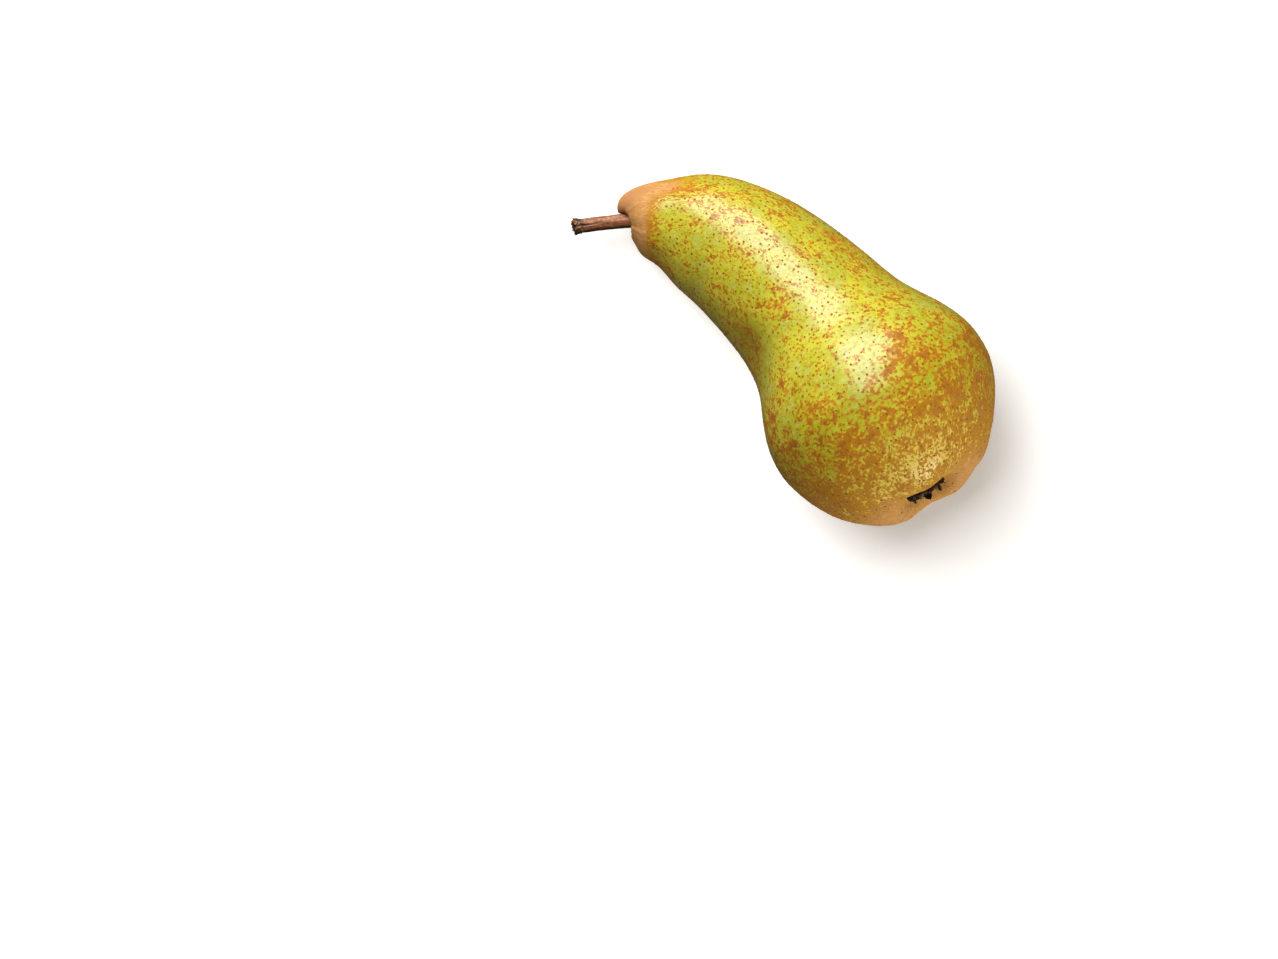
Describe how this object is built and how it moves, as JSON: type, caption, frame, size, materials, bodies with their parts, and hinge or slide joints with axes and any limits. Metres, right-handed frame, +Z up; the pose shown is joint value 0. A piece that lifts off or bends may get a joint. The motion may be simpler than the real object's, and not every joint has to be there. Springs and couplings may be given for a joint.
{
  "type": "pear",
  "caption": "Whole long-necked russeted pear with a bent neck, woody stem and dried calyx, lying on its side on a small flat spot.",
  "frame": {"origin": "middle of the base of the bounding box, on the surface that the pear lies on", "axes": "+X towards the stem end along the longest extent, +Z up, +Y to the left of +X"},
  "size_m": [0.1446, 0.0724, 0.0724],
  "materials": {
    "skin": "waxy yellow-green pear skin under matt orange-brown russet, with fine brown lenticels",
    "bark": "dry reddish-brown bark with lengthwise ridges, darker and torn at the knob",
    "dried_calyx": "dry, dark and papery, paler at the tips"
  },
  "bodies": {
    "root": {"fruit": "skin", "stem": "bark", "calyx": "dried_calyx"}
  },
  "joints": []
}
